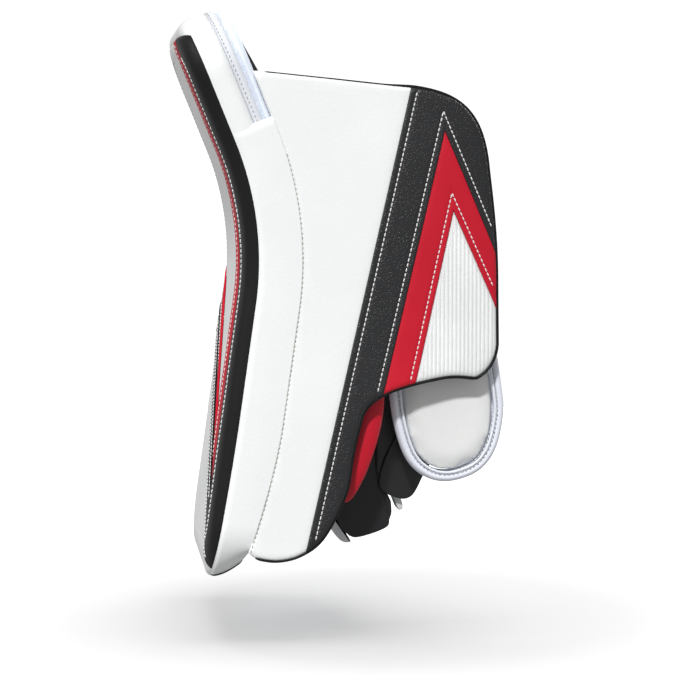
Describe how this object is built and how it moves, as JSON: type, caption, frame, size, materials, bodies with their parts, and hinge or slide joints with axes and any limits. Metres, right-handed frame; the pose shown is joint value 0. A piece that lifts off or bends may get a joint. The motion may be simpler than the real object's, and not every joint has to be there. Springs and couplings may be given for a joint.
{
  "type": "goalie blocker",
  "caption": "Ice-hockey goalie blocker: bent blocking board with a flared thumb-side wall, and behind it an open-palm glove with finger stalls, thumb guard and wrist strap.",
  "frame": {"origin": "centre of the grip, just in front of the palm", "axes": "+Z to the cuff end of the board, -Y out of the blocking face, +X to the thumb side"},
  "size_m": [0.2049, 0.2179, 0.3764],
  "materials": {
    "binding": "woven binding tape",
    "black_fabric": "woven mesh, matte",
    "black_leather": "grained, semi-gloss",
    "foam": "closed-cell foam, matte",
    "guard_black": "moulded foam, matte",
    "guard_white": "satin synthetic leather",
    "hook_loop": "hook and loop pile",
    "ice_foam": "felt-covered foam, matte",
    "palm_leather": "soft, napped",
    "red_leather": "smooth, semi-gloss",
    "red_rubber": "moulded, matte",
    "ribbed_white": "moulded ribs, matte",
    "stiffener": "sheet plastic",
    "webbing": "woven webbing",
    "white_fabric": "woven, matte",
    "white_leather": "satin synthetic leather"
  },
  "bodies": {
    "blocker": {"backhand_pad": "black_fabric", "board_back_layer": "ice_foam", "board_edge_cover": "white_leather", "board_foam_core": "foam", "board_middle_layer": "white_fabric", "board_stiffener": "stiffener", "cuff_little_panel": "black_fabric", "cuff_thumb_panel": "black_fabric", "face_black_chevron": "black_leather", "face_red_chevron": "red_leather", "face_toe_panel": "white_leather", "face_white_panel": "white_leather", "little_side_cover": "white_leather", "little_side_foam": "foam", "little_side_lining": "black_fabric", "mounting_patch": "hook_loop", "palm": "palm_leather", "strap_anchor": "webbing", "strap_loop_patch": "hook_loop", "thumb_gusset": "black_fabric", "wall_black_panel": "black_leather", "wall_flange": "white_leather", "wall_foam_core": "foam", "wall_lining": "black_fabric", "wall_red_chevron": "red_leather", "wall_red_roll": "red_leather", "wall_ribbed_panel": "ribbed_white", "wall_rim_piping": "black_leather", "wall_white_panel": "white_leather", "wrist_pad": "black_fabric"},
    "wrist_strap_body": {"wrist_strap": "webbing", "strap_hook_patch": "hook_loop", "strap_pull_tab": "red_rubber"},
    "thumb": {"thumb_stall": "black_fabric", "thumb_guard_pad": "guard_white", "thumb_guard_binding": "binding", "thumb_web_tab": "black_leather"},
    "index_finger": {"index_stall_base": "black_fabric", "index_guard_base": "guard_black"},
    "index_fingertip": {"index_stall_tip": "black_fabric", "index_guard_tip": "guard_black", "index_palm_tab": "palm_leather", "index_back_tab": "palm_leather"},
    "middle_finger": {"middle_stall_base": "black_fabric", "middle_guard_base": "guard_black"},
    "middle_fingertip": {"middle_stall_tip": "black_fabric", "middle_guard_tip": "guard_black", "middle_palm_tab": "palm_leather"},
    "ring_finger": {"ring_stall_base": "black_fabric", "ring_guard_base": "guard_black"},
    "ring_fingertip": {"ring_stall_tip": "black_fabric", "ring_guard_tip": "guard_black", "ring_palm_tab": "palm_leather"},
    "little_finger": {"little_stall_base": "black_fabric", "little_guard_base": "guard_black"},
    "little_fingertip": {"little_stall_tip": "black_fabric", "little_guard_tip": "guard_black", "little_palm_tab": "palm_leather"}
  },
  "joints": [
    {"name": "index_curl", "type": "hinge", "parent": "blocker", "child": "index_finger", "pos_m": [0, -0.015, 0.017], "axis": [1, 0, 0], "range_deg": [0, 75]},
    {"name": "index_tip_curl", "type": "hinge", "parent": "index_finger", "child": "index_fingertip", "pos_m": [0, -0.014, -0.031], "axis": [1, 0, 0], "range_deg": [0, 75]},
    {"name": "middle_curl", "type": "hinge", "parent": "blocker", "child": "middle_finger", "pos_m": [0, -0.015, 0.017], "axis": [1, 0, 0], "range_deg": [0, 75]},
    {"name": "middle_tip_curl", "type": "hinge", "parent": "middle_finger", "child": "middle_fingertip", "pos_m": [0, -0.014, -0.031], "axis": [1, 0, 0], "range_deg": [0, 75]},
    {"name": "ring_curl", "type": "hinge", "parent": "blocker", "child": "ring_finger", "pos_m": [0, -0.015, 0.017], "axis": [1, 0, 0], "range_deg": [0, 75]},
    {"name": "ring_tip_curl", "type": "hinge", "parent": "ring_finger", "child": "ring_fingertip", "pos_m": [0, -0.014, -0.031], "axis": [1, 0, 0], "range_deg": [0, 75]},
    {"name": "little_curl", "type": "hinge", "parent": "blocker", "child": "little_finger", "pos_m": [0, -0.015, 0.017], "axis": [1, 0, 0], "range_deg": [0, 75]},
    {"name": "little_tip_curl", "type": "hinge", "parent": "little_finger", "child": "little_fingertip", "pos_m": [0, -0.014, -0.031], "axis": [1, 0, 0], "range_deg": [0, 75]},
    {"name": "thumb_swing", "type": "hinge", "parent": "blocker", "child": "thumb", "pos_m": [0.058, 0.028, 0.05], "axis": [1, 0, 0], "range_deg": [-12, 30]},
    {"name": "wrist_strap_open", "type": "hinge", "parent": "blocker", "child": "wrist_strap_body", "pos_m": [-0.0545, 0.0045, 0.154], "axis": [0, 0, 1], "range_deg": [0, 110]}
  ],
  "couplings": [
    {"joint": "index_tip_curl", "follows": "index_curl", "ratio": 1},
    {"joint": "middle_tip_curl", "follows": "middle_curl", "ratio": 1},
    {"joint": "ring_tip_curl", "follows": "ring_curl", "ratio": 1},
    {"joint": "little_tip_curl", "follows": "little_curl", "ratio": 1}
  ]
}
